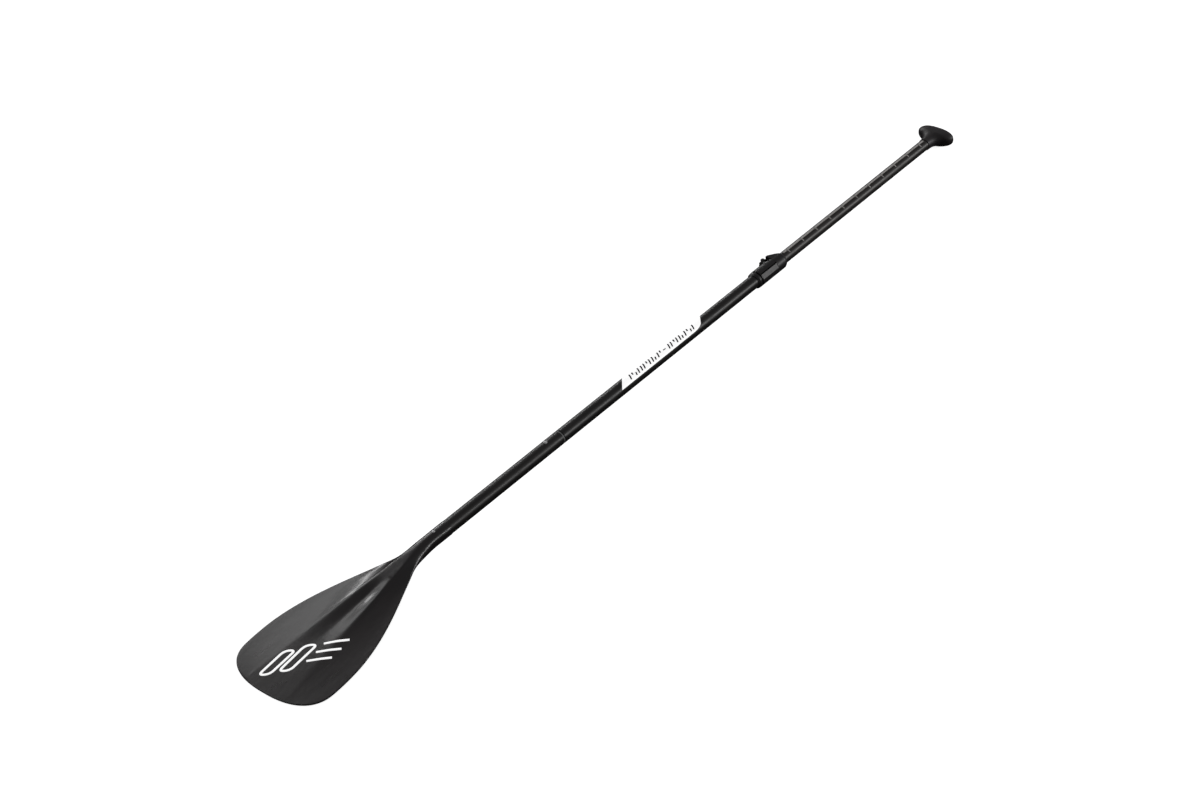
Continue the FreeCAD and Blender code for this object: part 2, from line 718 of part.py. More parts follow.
def make_clamp_body():
    """Split moulding: a flared collar, a finger groove, the band under the lever, ears and a capped mouth."""
    body = new_body("clamp_body")
    full = cell("clamp_radius")
    collar_end = CLAMP_START + cell("collar_length")
    groove_end = collar_end + cell("groove_width")
    outside = new_sketch(body, "clamp_outside", "XZ_Plane")
    polygon(outside, [
        (CLAMP_START, 0), (CLAMP_START, TUBE + 1.1), (CLAMP_START + 1.6, full - 1.7),
        (CLAMP_START + 4, full - 0.45), (collar_end - 1, full), (collar_end, full),
        (collar_end, cell("groove_radius")), (groove_end, cell("groove_radius")), (groove_end, full),
        (CLAMP_END - 5.5, full), (CLAMP_END - 1.2, full - 1.9), (CLAMP_END, full - 2.9), (CLAMP_END, 0),
    ])
    spin(body, "clamp_turned", outside)

    recess = new_sketch(body, "lever_recess_outline", "YZ_Plane", offset=cell("recess_start"))
    ring_sector(recess, cell("band_radius"), full + 2, RECESS_FROM, RECESS_TO)
    pocket(body, "lever_recess", recess, cell("recess_end") - cell("recess_start"))
    channel = new_sketch(body, "finger_channel_outline", "YZ_Plane", offset=cell("recess_start"))
    ring_sector(channel, cell("channel_radius"), full + 2, LEVER_TO + 1, RECESS_TO)
    pocket(body, "finger_channel", channel, cell("recess_end") - cell("recess_start"))
    flat = new_sketch(body, "flat_mark", "XY_Plane", offset=cell("flat_height"), turn=FLAT_ANGLE - FRONT)
    polygon(flat, [
        (cell("recess_start") + 0.5, -9), (cell("recess_end") - 0.5, -9),
        (cell("recess_end") - 0.5, 9), (cell("recess_start") + 0.5, 9),
    ])
    pocket(body, "thumb_flat", flat, 5)

    ears = new_sketch(body, "ear_block", "YZ_Plane", offset=cell("arm_start"))
    polygon(ears, [
        (8, -cell("ear_depth")), (cell("ear_reach"), -cell("ear_depth")),
        (cell("ear_reach"), EAR_TOP), (8, EAR_TOP),
    ])
    pad(body, "ears", ears, cell("recess_end") - cell("arm_start"))

    fin = new_sketch(body, "fin_outline", "YZ_Plane", offset=cell("fin_start"))
    polygon(fin, tangent_tip(number_of(cell("fin_reach")), number_of(full) - 0.4, FIN_ANGLE))
    pad(body, "fin", fin, cell("fin_end") - cell("fin_start"))
    ramp = new_sketch(body, "fin_ramp", "XZ_Plane", turn=FIN_ANGLE - FRONT)
    polygon(ramp, [
        (cell("fin_start") + 2.2, cell("fin_reach")), (cell("fin_end") + 1, full + 0.05),
        (cell("fin_end") + 1, cell("fin_reach") + 5), (cell("fin_start") + 2.2, cell("fin_reach") + 5),
    ])
    pocket(body, "fin_slope", ramp, full * 4, both_ways=True)

    bore = new_sketch(body, "clamp_bore_outline", "XZ_Plane")
    mouth = UPPER + 0.1
    polygon(bore, [
        (CLAMP_START - 1, 0), (CLAMP_START - 1, SEAT), (LIP_START, SEAT), (LIP_START, mouth),
        (CLAMP_END + 1, mouth), (CLAMP_END + 1, 0),
    ])
    spin(body, "clamp_bore", bore, kind="Groove")
    slit(body, "clamp_slit", cell("recess_start"), CLAMP_END + 1, cell("ear_reach") + 8)

    hole = new_sketch(body, "screw_hole_mark", "XY_Plane", offset=-cell("ear_depth") - 1)
    circle(hole, SCREW_X, PIVOT_Y, cell("screw_radius") + 0.3)
    pocket(body, "screw_hole", hole, cell("ear_depth") + EAR_TOP + 2)
    seat = new_sketch(body, "nut_seat_mark", "XY_Plane", offset=-cell("ear_depth") - 1)
    half = 2.95
    polygon(seat, [
        (SCREW_X - half, PIVOT_Y - half), (SCREW_X + half, PIVOT_Y - half),
        (SCREW_X + half, PIVOT_Y + half), (SCREW_X - half, PIVOT_Y + half),
    ])
    pocket(body, "nut_seat", seat, cell("ear_depth") + 1 - 4.2)
    radial_hole(body, "collar_screw_hole", COLLAR_SCREW_X, BACK, cell("rivet_shank"))
    return body


make_clamp_body()


def make_collar_screw():
    """Headless socket screw that fixes the collar to the tube's wall without reaching into its bore."""
    radius = number_of(cell("rivet_shank")) - 0.02
    low = number_of(TUBE_BORE) + 0.05
    high = number_of(cell("clamp_radius")) - 0.9
    screw = Part.makeCylinder(radius, high - low, Vector(0, 0, low))
    key = 1.15
    corners = [Vector(key * math.cos(k * math.pi / 3), key * math.sin(k * math.pi / 3), high - 1.8) for k in range(7)]
    socket = Part.Face(Part.makePolygon(corners)).extrude(Vector(0, 0, 3))
    turned = Rotation(Vector(1, 0, 0), BACK - FRONT)
    return solid_feature("collar_screw", screw.cut(socket), Placement(Vector(COLLAR_SCREW_X.value, 0, 0), turned))


make_collar_screw()


def make_clamp_lever():
    """Curved lever whose two knuckles hold the barrel. Its knuckles are eccentric, so they act as cams."""
    body = new_body("clamp_lever")
    start = cell("recess_start") + cell("lever_gap")
    end = cell("recess_end") - cell("lever_gap")
    shell = new_sketch(body, "lever_shell_outline", "YZ_Plane", offset=start)
    ring_sector(shell, cell("lever_inner"), cell("lever_outer"), LEVER_FROM, LEVER_TO)
    pad(body, "lever_shell", shell, end - start)

    web = new_sketch(body, "lever_web_outline", "YZ_Plane", offset=cell("arm_start"))
    knuckle_top = PIVOT_Z + 3.5
    lean = math.radians(72)
    outer = number_of(cell("lever_outer"))
    inner = number_of(cell("lever_inner"))
    foot = math.radians(LEVER_FROM)
    polygon(web, [
        (PIVOT_Y, PIVOT_Z - 2.2), (PIVOT_Y + 2, knuckle_top), (outer * math.cos(lean), outer * math.sin(lean)),
        ((inner + 0.8) * math.cos(lean), (inner + 0.8) * math.sin(lean)),
        (inner * math.cos(foot + 0.35), inner * math.sin(foot + 0.35)),
        (inner * math.cos(foot), inner * math.sin(foot)),
    ])
    pad(body, "lever_web", web, end - cell("arm_start"))
    knuckle = new_sketch(body, "knuckle_outline", "YZ_Plane", offset=cell("arm_start"))
    circle(knuckle, PIVOT_Y, PIVOT_Z - cell("cam_offset"), cell("cam_radius"))
    pad(body, "knuckle", knuckle, end - cell("arm_start"))

    barrel = new_sketch(body, "barrel_hole_mark", "YZ_Plane", offset=cell("arm_start") - 1)
    circle(barrel, PIVOT_Y, PIVOT_Z, cell("barrel_radius") + 0.05)
    pocket(body, "barrel_hole", barrel, end - cell("arm_start") + 2)

    slot = new_sketch(body, "knob_slot_outline", "XY_Plane")
    half = cell("knob_radius") + 0.25
    polygon(slot, [
        (SCREW_X - half, 30), (SCREW_X - half, 7.4), (SCREW_X, 3.4), (SCREW_X + half, 7.4), (SCREW_X + half, 30),
    ])
    pocket(body, "knob_slot", slot, 25)
    return body


make_clamp_lever()

barrel_length = cell("recess_end") - cell("lever_gap") - cell("arm_start")
barrel_rod = rod(
    "barrel_rod", cell("barrel_radius"), barrel_length, (cell("arm_start"), PIVOT_Y, PIVOT_Z), Vector(1, 0, 0))
barrel_drill = rod(
    "barrel_drill", cell("screw_radius") + SCREW_HOLE_GAP, 10, (SCREW_X, PIVOT_Y, PIVOT_Z - 5), Vector(0, 0, 1))
cut("pivot_barrel", barrel_rod, barrel_drill)

NUT_SIDE = 5.6
NUT_TOP = -4.25
NUT_THICK = 2.6
nut_block = doc.addObject("Part::Box", "nut_block")
nut_block.Length = NUT_SIDE
nut_block.Width = NUT_SIDE
nut_block.Height = NUT_THICK
nut_block.Placement.Base.z = NUT_TOP - NUT_THICK
nut_block.setExpression("Placement.Base.x", (SCREW_X - NUT_SIDE / 2).text)
nut_block.setExpression("Placement.Base.y", (PIVOT_Y - NUT_SIDE / 2).text)
nut_drill = rod(
    "nut_drill", cell("screw_radius") + 0.05, 8, (SCREW_X, PIVOT_Y, NUT_TOP - 5), Vector(0, 0, 1))
cut("captive_nut", nut_block, nut_drill)

KNOB_BASE = PIVOT_Z + cell("barrel_radius") + 0.15
SCREW_LOW = -9.5
screw_top = KNOB_BASE + cell("knob_height") - 1
tension_screw = rod(
    "tension_screw", cell("screw_radius"), screw_top - SCREW_LOW, (SCREW_X, PIVOT_Y, SCREW_LOW), Vector(0, 0, 1))
tension_screw.Label = "tension_screw"


def make_adjusting_knob():
    """Moulded screw head with finger notches round its edge."""
    body = new_body("adjusting_knob")
    radius, height = cell("knob_radius"), cell("knob_height")
    half = new_sketch(body, "knob_half", "XZ_Plane")
    hole = cell("screw_radius")
    polygon(half, [
        (hole, 0), (radius - 0.4, 0), (radius, 0.4), (radius, height - 0.8), (radius - 0.9, height),
        (0, height), (0, height - 1), (hole, height - 1),
    ])
    spin(body, "knob_turned", half, axis="V_Axis")
    notch = new_sketch(body, "notch_mark", "XY_Plane")
    circle(notch, radius + 0.25, 0, 0.7)
    cutter = pocket(body, "notch", notch, height)
    pattern = body.newObject("PartDesign::PolarPattern", "notches")
    pattern.Originals = [cutter]
    pattern.Axis = (notch, ["N_Axis"])
    pattern.Angle = 360
    pattern.Occurrences = 10
    body.Tip = pattern
    for axis, place in zip("xyz", (SCREW_X, PIVOT_Y, KNOB_BASE)):
        body.setExpression(f"Placement.Base.{axis}", place.text)
    return body


make_adjusting_knob()


def make_guide_bushing():
    """Split liner that centres the upper tube, with a flange over the middle tube's end."""
    body = new_body("guide_bushing")
    half = new_sketch(body, "bushing_half", "XZ_Plane")
    start, inner = cell("bushing_start"), UPPER + GAP
    polygon(half, [
        (start, inner), (LIP_START, inner), (LIP_START, TUBE - 0.2), (MIDDLE_END, TUBE - 0.2),
        (MIDDLE_END, TUBE_BORE), (start, TUBE_BORE),
    ])
    spin(body, "bushing_turned", half)
    slit(body, "bushing_slit", start - 1, LIP_START + 1, TUBE + 2)
    return body


make_guide_bushing()

# ---------------------------------------------------------------- upper section
upper_shaft = tube("upper_shaft", cell("upper_start"), cell("upper_end"), UPPER, UPPER_BORE)
GRIP_RIVET_X = cell("grip_start") + 16
radial_hole(upper_shaft, "grip_rivet_hole", GRIP_RIVET_X, BACK, cell("rivet_shank"))


def make_end_plug():
    """Plug in the tube's lower end, with a groove for the glide ring."""
    body = new_body("end_plug")
    half = new_sketch(body, "plug_half", "XZ_Plane")
    start, tube_end = cell("plug_start"), cell("upper_start")
    flange, seat = UPPER - 0.2, cell("ring_seat")
    ring_start = start + 3
    ring_end = ring_start + cell("ring_width") + 0.2
    polygon(half, [
        (start, 0), (start, flange - 1), (start + 1, flange), (ring_start, flange), (ring_start, seat),
        (ring_end, seat), (ring_end, flange), (tube_end, flange), (tube_end, UPPER_BORE),
        (tube_end + 15, UPPER_BORE), (tube_end + 15, 0),
    ])
    spin(body, "plug_turned", half)
    return body


make_end_plug()

ring_start = cell("plug_start") + 3.1
glide_ring = tube("glide_ring", ring_start, ring_start + cell("ring_width"), SLEEVE, cell("ring_seat") + GAP)
slit(glide_ring, "ring_gap", ring_start - 1, ring_start + cell("ring_width") + 1, TUBE)


# ---------------------------------------------------------------- grip
def grip_shape():
    """Palm grip: round at the tube, flaring across to a crowned bar."""
    start = number_of(cell("grip_start"))
    height = number_of(cell("grip_height"))
    wide = number_of(cell("grip_half_width"))
    deep = number_of(cell("grip_half_depth"))
    neck = number_of(UPPER) + 1.3
    profile = [
        (0, neck, neck), (0.14, 1.02 * neck, 1.01 * neck), (0.28, 1.14 * neck, 1.05 * neck),
        (0.40, 1.48 * neck, 0.86 * deep), (0.485, 0.62 * wide, 0.95 * deep), (0.545, 0.81 * wide, deep),
        (0.63, 0.945 * wide, deep),
    ]
    shoulder = 0.74
    for angle in (0, 26, 44, 58, 70, 79, 85.5):
        t = math.radians(angle)
        share = shoulder + (1 - shoulder) * math.sin(t) ** 0.85
        profile.append((share, wide * math.cos(t) ** 0.7, deep * math.cos(t) ** 0.6))
    sections = []
    for share, across, up in profile:
        x = start + share * height
        fullness = 1 - 0.22 * smooth(share, 0.3, 0.7)
        quarter = []
        for degrees in range(0, 91, 10):
            t = math.radians(degrees)
            quarter.append((across * math.sin(t) ** fullness, up * math.cos(t) ** fullness))
        quarter[-1] = (across, 0.0)
        below = [(a, -u) for a, u in quarter]
        sections.append((quarter, below, lambda a, u, x=x: Vector(x, a, u), Vector(0, 0, 1)))
    shape = shell_of_halves(sections)
    depth = number_of(cell("upper_end")) - start
    shape = shape.cut(Part.makeCylinder(number_of(UPPER), depth, Vector(start, 0, 0), Vector(1, 0, 0)))
    rivet_x = number_of(GRIP_RIVET_X)
    hole = Part.makeCylinder(number_of(cell("rivet_shank")), 30, Vector(rivet_x, 0, 0), Vector(0, 0, -1))
    seat = Part.makeCylinder(number_of(cell("rivet_head")) + 0.3, 9, Vector(rivet_x, 0, -GRIP_SEAT), Vector(0, 0, -1))
    return shape.cut(hole).cut(seat)


GRIP_SEAT = number_of(UPPER) + 1.2
solid_feature("t_grip", grip_shape())
grip_surface = GRIP_SEAT + 0.02
grip_tip = number_of(UPPER_BORE) - RIVET_TAIL
rivet_group("grip_rivet", [(GRIP_RIVET_X.value, BACK)], grip_surface, grip_tip)

# ---------------------------------------------------------------- checks and export
NODES = [
    "blade", "neck_ferrule", "neck_rivets", "lower_shaft", "float_plug", "middle_shaft", "joint_ferrule",
    "joint_rivets", "joint_seal", "snap_spring", "snap_button", "shaft_label", "clamp_body", "collar_screw",
    "guide_bushing", "pivot_barrel", "captive_nut", "tension_screw", "adjusting_knob", "clamp_lever",
    "glide_ring", "end_plug", "upper_shaft", "t_grip", "grip_rivet",
]


def check_document():
    """Stops the build on a failed feature, an empty or invalid shape, or a cut that removes nothing."""
    doc.recompute()
    for obj in doc.Objects:
        if "Invalid" in obj.State or "Error" in obj.State:
            raise RuntimeError(f"{obj.Label} failed: {obj.State}")
        if obj.isDerivedFrom("PartDesign::Pocket") or obj.isDerivedFrom("PartDesign::Groove"):
            if obj.Shape.Volume > obj.BaseFeature.Shape.Volume - 0.01:
                raise RuntimeError(f"{obj.Label} cuts nothing")
    for node in NODES:
        part = doc.getObjectsByLabel(node)[0]
        if part.Shape.isNull() or not part.Shape.isValid() or not part.Shape.Solids:
            raise RuntimeError(f"{node} has no valid solid")


check_document()
os.makedirs("parts", exist_ok=True)
for node in NODES:
    doc.getObjectsByLabel(node)[0].Shape.exportStep(f"parts/{node}.step")
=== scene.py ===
"""Looks of an adjustable single-blade paddle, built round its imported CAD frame.

Row frame, metres: +X along the shaft towards the grip, +Z out of the blade's front face, +Y to its left.
Angles round the shaft run from +Y (0 degrees) to +Z (90 degrees), the paddle's front.
"""

import json
import math

import bmesh
import bpy
from mathutils import Matrix, Vector
from mathutils.bvhtree import BVHTree


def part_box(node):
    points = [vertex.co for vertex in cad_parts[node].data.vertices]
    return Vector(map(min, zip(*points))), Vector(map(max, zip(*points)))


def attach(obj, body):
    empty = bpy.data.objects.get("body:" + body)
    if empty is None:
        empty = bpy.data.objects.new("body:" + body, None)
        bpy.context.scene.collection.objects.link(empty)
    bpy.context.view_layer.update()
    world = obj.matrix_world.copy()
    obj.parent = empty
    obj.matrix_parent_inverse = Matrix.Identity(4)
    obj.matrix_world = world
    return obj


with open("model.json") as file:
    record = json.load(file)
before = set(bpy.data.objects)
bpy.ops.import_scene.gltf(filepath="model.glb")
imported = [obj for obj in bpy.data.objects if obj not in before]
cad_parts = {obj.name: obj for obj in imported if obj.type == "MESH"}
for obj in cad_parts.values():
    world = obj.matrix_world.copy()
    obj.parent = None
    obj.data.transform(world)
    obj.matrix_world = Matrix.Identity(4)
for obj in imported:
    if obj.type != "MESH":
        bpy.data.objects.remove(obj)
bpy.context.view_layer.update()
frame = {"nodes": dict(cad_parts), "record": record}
NODES = frame["nodes"]

# sockets of a Mix node that mixes colours
MIX_SHARE, MIX_A, MIX_B, MIX_RESULT = 0, 6, 7, 2


# ---------------------------------------------------------------- materials
class Look:
    """A node material round one Principled surface, patterned in row frame metres."""

    def __init__(self, name, **settings):
        self.material = bpy.data.materials.new(name)
        self.material.use_nodes = True
        tree = self.material.node_tree
        self.nodes, self.links = tree.nodes, tree.links
        self.surface = self.nodes["Principled BSDF"]
        self.place = self.nodes.new("ShaderNodeTexCoord").outputs["Object"]
        for key, value in settings.items():
            self.surface.inputs[key.replace("_", " ")].default_value = value

    def join(self, source, target):
        if isinstance(source, bpy.types.NodeSocket):
            self.links.new(source, target)
        elif hasattr(target.default_value, "__len__") and not hasattr(source, "__len__"):
            target.default_value = (source,) * len(target.default_value)
        elif hasattr(source, "__len__") and len(source) == 3 and len(target.default_value) == 4:
            target.default_value = (*source, 1.0)
        else:
            target.default_value = source

    def set(self, key, source):
        self.join(source, self.surface.inputs[key])

    def noise(self, scale, stretch=(1, 1, 1), detail=4.0, roughness=0.55, shift=0.0):
        mapping = self.nodes.new("ShaderNodeMapping")
        mapping.inputs["Scale"].default_value = stretch
        mapping.inputs["Location"].default_value = (shift, shift, shift)
        self.links.new(self.place, mapping.inputs["Vector"])
        made = self.nodes.new("ShaderNodeTexNoise")
        made.inputs["Scale"].default_value = scale
        made.inputs["Detail"].default_value = detail
        made.inputs["Roughness"].default_value = roughness
        self.links.new(mapping.outputs[0], made.inputs["Vector"])
        return made.outputs["Fac"]

    def cells(self, scale, feature="F1"):
        made = self.nodes.new("ShaderNodeTexVoronoi")
        made.feature = feature
        made.inputs["Scale"].default_value = scale
        self.links.new(self.place, made.inputs["Vector"])
        return made.outputs["Distance"]

    def axis(self, letter):
        made = self.nodes.new("ShaderNodeSeparateXYZ")
        self.links.new(self.place, made.inputs[0])
        return made.outputs["XYZ".index(letter)]

    def maths(self, kind, a, b=0.0, c=0.0):
        made = self.nodes.new("ShaderNodeMath")
        made.operation = kind
        for source, target in zip((a, b, c), made.inputs):
            self.join(source, target)
        return made.outputs[0]

    def spread(self, source, low, high, to_low, to_high):
        """Carries low..high to to_low..to_high, and holds the ends."""
        made = self.nodes.new("ShaderNodeMapRange")
        for key, value in (("Value", source), ("From Min", low), ("From Max", high),
                           ("To Min", to_low), ("To Max", to_high)):
            self.join(value, made.inputs[key])
        return made.outputs[0]

    def mix(self, share, a, b):
        made = self.nodes.new("ShaderNodeMix")
        made.data_type = "RGBA"
        for key, source in ((MIX_SHARE, share), (MIX_A, a), (MIX_B, b)):
            self.join(source, made.inputs[key])
        return made.outputs[MIX_RESULT]

    def hollows(self, reach):
        """Falls towards 0 inside grooves and corners narrower than reach, a mask for painted shade."""
        made = self.nodes.new("ShaderNodeAmbientOcclusion")
        made.samples = 6
        made.inputs["Distance"].default_value = reach
        return made.outputs["AO"]

    def bump(self, height, distance, strength=1.0):
        made = self.nodes.new("ShaderNodeBump")
        made.inputs["Strength"].default_value = strength
        made.inputs["Distance"].default_value = distance
        self.links.new(height, made.inputs["Height"])
        earlier = self.surface.inputs["Normal"].links
        if earlier:
            self.links.new(earlier[0].from_socket, made.inputs["Normal"])
        self.links.new(made.outputs[0], self.surface.inputs["Normal"])


def blade_plastic():
    """Glossy moulded plastic: faint flow marks run along the blade, with fine scuffs towards the tip."""
    look = Look("blade_plastic", IOR=1.5)
    flow = look.noise(9, (1.0, 5.0, 5.0), 5)
    cloud = look.noise(5, (1, 1, 1), 3, shift=3.0)
    grey = look.mix(flow, (0.0132, 0.0122, 0.0126), (0.0208, 0.0184, 0.0190))
    warm = look.mix(look.spread(cloud, 0.4, 0.62, 0, 0.75), grey, (0.0240, 0.0180, 0.0188))
    look.set("Base Color", warm)
    gloss = look.maths("MULTIPLY_ADD", flow, 0.10, 0.24)
    scuff = look.spread(look.noise(160, (1, 4, 4), 6), 0.52, 0.75, 0, 0.05)
    look.set("Roughness", look.maths("ADD", gloss, scuff))
    look.set("Coat Weight", 0.27)
    look.set("Coat Roughness", 0.12)
    look.bump(look.noise(32, (1, 2.5, 2.5), 2), 0.0006, 0.35)
    look.bump(look.noise(1500, detail=2), 0.00004, 0.35)
    return look.material


def anodised(name, tint, roughness):
    """Drawn and anodised tube: fine lengthwise lines and a satin sheen, lightly handled."""
    look = Look(name, IOR=1.6)
    lines = look.noise(900, (0.02, 1, 1), 3)
    blotch = look.noise(14, (1, 3, 3), 4, shift=1.0)
    dark = tuple(0.62 * channel for channel in tint)
    tone = look.mix(look.spread(blotch, 0.3, 0.7, 0, 1), dark, tint)
    look.set("Base Color", tone)
    look.set("Metallic", 0.25)
    satin = look.maths("MULTIPLY_ADD", lines, 0.10, roughness)
    handled = look.spread(look.noise(45, (0.6, 1, 1), 5, shift=5.0), 0.5, 0.8, 0, 0.12)
    look.set("Roughness", look.maths("ADD", satin, handled))
    look.bump(lines, 0.00003, 0.4)
    return look.material


def grained(name, tint, roughness, grain=1100.0, depth=0.00006, hollow=0.0):
    """Moulded plastic with a fine spark-eroded grain, and painted shade that darkens its colour and dims its
    gloss in grooves narrower than the given reach.
    """
    look = Look(name, IOR=1.5)
    cloud = look.noise(60, detail=4)
    dark = tuple(0.7 * channel for channel in tint)
    tone = look.mix(cloud, dark, tint)
    if hollow:
        # painted shade: inside narrow grooves and corners the colour goes near black and the gloss drops
        unshaded_share = look.spread(look.hollows(hollow), 0.55, 0.92, 0.0, 1.0)
        tone = look.mix(unshaded_share, (0.0006, 0.0006, 0.0006), tone)
        look.set("Specular IOR Level", look.maths("MULTIPLY", unshaded_share, 0.5))
    look.set("Base Color", tone)
    polish = look.noise(300, detail=3, shift=2.0)
    look.set("Roughness", look.maths("MULTIPLY_ADD", polish, 0.16, roughness - 0.08))
    look.bump(look.cells(grain), depth, 0.5)
    look.bump(look.noise(grain * 2, detail=2), depth * 0.6, 0.4)
    return look.material


def bright_metal(name, tint, roughness, turned=False, satin=0.0):
    """Polished or turned metal with fine marks. satin is the share that scatters like frosted plating."""
    look = Look(name, Metallic=1.0 - satin)
    marks = look.noise(2600, (1, 1, 0.1) if turned else (1, 1, 1), 3)
    dull = tuple(0.72 * channel for channel in tint)
    look.set("Base Color", look.mix(look.spread(marks, 0.35, 0.7, 0, 1), dull, tint))
    look.set("Roughness", look.maths("MULTIPLY_ADD", marks, 0.18, roughness - 0.05))
    look.bump(marks, 0.00002, 0.4)
    return look.material


def printed_film():
    """White printed film: slightly warm and cool patches, faint print grain, soft gloss, and a painted glow
    that keeps it white on its shaded side.
    """
    look = Look("label_film", IOR=1.45)
    patch = look.noise(30, (0.5, 1, 1), 3)
    look.set("Base Color", look.mix(patch, (0.90, 0.90, 0.90), (0.96, 0.96, 0.955)))
    look.set("Roughness", look.maths("MULTIPLY_ADD", look.noise(400), 0.14, 0.26))
    # painted light: the film glows though no lamp shines from it
    look.set("Emission Color", (1.0, 1.0, 1.0, 1.0))
    look.set("Emission Strength", 0.66)
    look.bump(look.noise(900, detail=2), 0.00002, 0.3)
    return look.material


def ink(name, tint, roughness, wear=0.5, glow=0.0):
    """Printed ink, thinned where it has been rubbed. A glow above 0 makes it emit light, a painted glow."""
    look = Look(name, IOR=1.45)
    rub = look.noise(420, detail=5)
    worn = tuple(channel * 0.72 for channel in tint)
    look.set("Base Color", look.mix(look.spread(rub, 0.46, 0.72, 0, wear), tint, worn))
    look.set("Roughness", look.maths("MULTIPLY_ADD", rub, 0.2, roughness))
    # painted light: the ink glows though no lamp shines from it
    if glow:
        look.set("Emission Color", (*tint, 1.0))
        look.set("Emission Strength", glow)
    look.bump(rub, 0.00001, 0.3)
    return look.material


def foam():
    """White closed-cell foam, lower between its cells and darker there, the darkening being painted shade.
    """
    look = Look("foam")
    cell = look.cells(700)
    depth = look.spread(cell, 0.1, 0.6, 0, 1)
    # painted shade: where the cell pattern is lower the colour is darker
    look.set("Base Color", look.mix(depth, (0.62, 0.62, 0.60), (0.9, 0.9, 0.88)))
    look.set("Roughness", look.maths("MULTIPLY_ADD", cell, 0.2, 0.75))
    look.bump(cell, 0.0003, 0.7)
    return look.material


def seal_rubber():
    """The joint's ring: a pale rim next to the lower tube, and next to the middle one a near-black band that
    is painted shade of the joint's gap.
    """
    look = Look("seal_rubber")
    rim_end = -0.0020
    gap_shade_share = look.spread(look.axis("X"), rim_end - 0.00005, rim_end + 0.0001, 0, 1)
    speck = look.noise(1200, detail=3)
    rim = look.mix(speck, (0.16, 0.16, 0.16), (0.26, 0.26, 0.26))
    # painted shade: the band next to the middle tube is near black for the joint's gap
    look.set("Base Color", look.mix(gap_shade_share, rim, (0.006, 0.006, 0.006)))
    look.set("Roughness", look.maths("MULTIPLY_ADD", speck, 0.2, 0.42))
    look.bump(speck, 0.00004, 0.4)
    return look.material


TUBE_BLACK = (0.0215, 0.0200, 0.0192)
LOOKS = {
    "blade_plastic": blade_plastic(),
    "lower_anodised": anodised("lower_anodised", (0.0230, 0.0208, 0.0196), 0.34),
    "middle_anodised": anodised("middle_anodised", TUBE_BLACK, 0.33),
    "upper_anodised": anodised("upper_anodised", (0.0370, 0.0330, 0.0305), 0.36),
    "clamp_plastic": grained("clamp_plastic", (0.0200, 0.0180, 0.0188), 0.42, hollow=0.004),
    "lever_plastic": grained("lever_plastic", (0.0200, 0.0190, 0.0196), 0.38, 900.0, 0.00008, hollow=0.004),
    "knob_plastic": grained("knob_plastic", (0.0045, 0.0045, 0.0045), 0.50),
    "grip_plastic": grained("grip_plastic", (0.0330, 0.0290, 0.0315), 0.50, 800.0, 0.00010),
    "ferrule_plastic": grained("ferrule_plastic", (0.03, 0.03, 0.032), 0.5),
    "bushing_plastic": grained("bushing_plastic", (0.02, 0.02, 0.021), 0.45),
    "plug_plastic": grained("plug_plastic", (0.03, 0.03, 0.03), 0.5),
    "glide_plastic": grained("glide_plastic", (0.7, 0.7, 0.68), 0.4),
    "rivet_metal": bright_metal("rivet_metal", (0.88, 0.88, 0.89), 0.34, satin=0.6),
    "button_metal": bright_metal("button_metal", (0.95, 0.95, 0.94), 0.30, satin=0.8),
    "screw_metal": bright_metal("screw_metal", (0.60, 0.60, 0.61), 0.32, turned=True),
    "barrel_metal": bright_metal("barrel_metal", (0.55, 0.55, 0.56), 0.34, turned=True),
    "nut_metal": bright_metal("nut_metal", (0.60, 0.60, 0.62), 0.30),
    "spring_steel": bright_metal("spring_steel", (0.60, 0.60, 0.62), 0.30),
    "label_film": printed_film(),
    "foam": foam(),
    "seal_rubber": seal_rubber(),
}
for entry in frame["record"]["subparts"]:
    mesh = NODES[entry["node"]].data
    mesh.materials.clear()
    mesh.materials.append(LOOKS[entry["material_slot"]])


# ---------------------------------------------------------------- printed graphics
def evenly(points, step, closed=False):
    """Points along a path, no further apart than step."""
    ends = points + points[:1] if closed else points
    out = []
    for a, b in zip(ends, ends[1:]):
        count = max(1, math.ceil((b - a).length / step))
        out += [a.lerp(b, i / count) for i in range(count)]
    return out if closed else out + [ends[-1]]


CURVE_STEPS = 6


def rounded(corners, radius, closed=True):
    """A path through corners, each eased by a short curve."""
    path = []
    count = len(corners)
    for i, corner in enumerate(corners):
        if not closed and i in (0, count - 1):
            path.append(corner)
            continue
        before, after = corners[i - 1], corners[(i + 1) % count]
        reach = min(radius, (before - corner).length / 2, (after - corner).length / 2)
        start = corner + (before - corner).normalized() * reach
        end = corner + (after - corner).normalized() * reach
        for k in range(CURVE_STEPS + 1):
            t = k / CURVE_STEPS
            path.append(start * (1 - t) ** 2 + corner * 2 * t * (1 - t) + end * t * t)
    return path


def ribbon(shape, path, width, lift, closed=False, step=0.0015, rows=3):
    """Adds a thin solid strip along a flat path. lift carries its points to height 1 or 0 on the surface."""
    points = evenly(path, step, closed)
    count = len(points)
    rings = []
    for i, point in enumerate(points):
        before = points[i - 1] if closed or i else point
        after = points[(i + 1) % count] if closed or i < count - 1 else point
        along = (after - before).normalized()
        across = Vector((-along.y, along.x))
        ring = []
        for height, order in ((1, range(rows + 1)), (0, range(rows, -1, -1))):
            for k in order:
                ring.append(shape.verts.new(lift(point + across * width * (k / rows - 0.5), height)))
        rings.append(ring)
    size = len(rings[0])
    pairs = list(zip(rings, rings[1:]))
    if closed:
        pairs.append((rings[-1], rings[0]))
    for a, b in pairs:
        for k in range(size):
            shape.faces.new((a[k], a[(k + 1) % size], b[(k + 1) % size], b[k]))
    if not closed:
        shape.faces.new(rings[0][::-1])
        shape.faces.new(rings[-1])


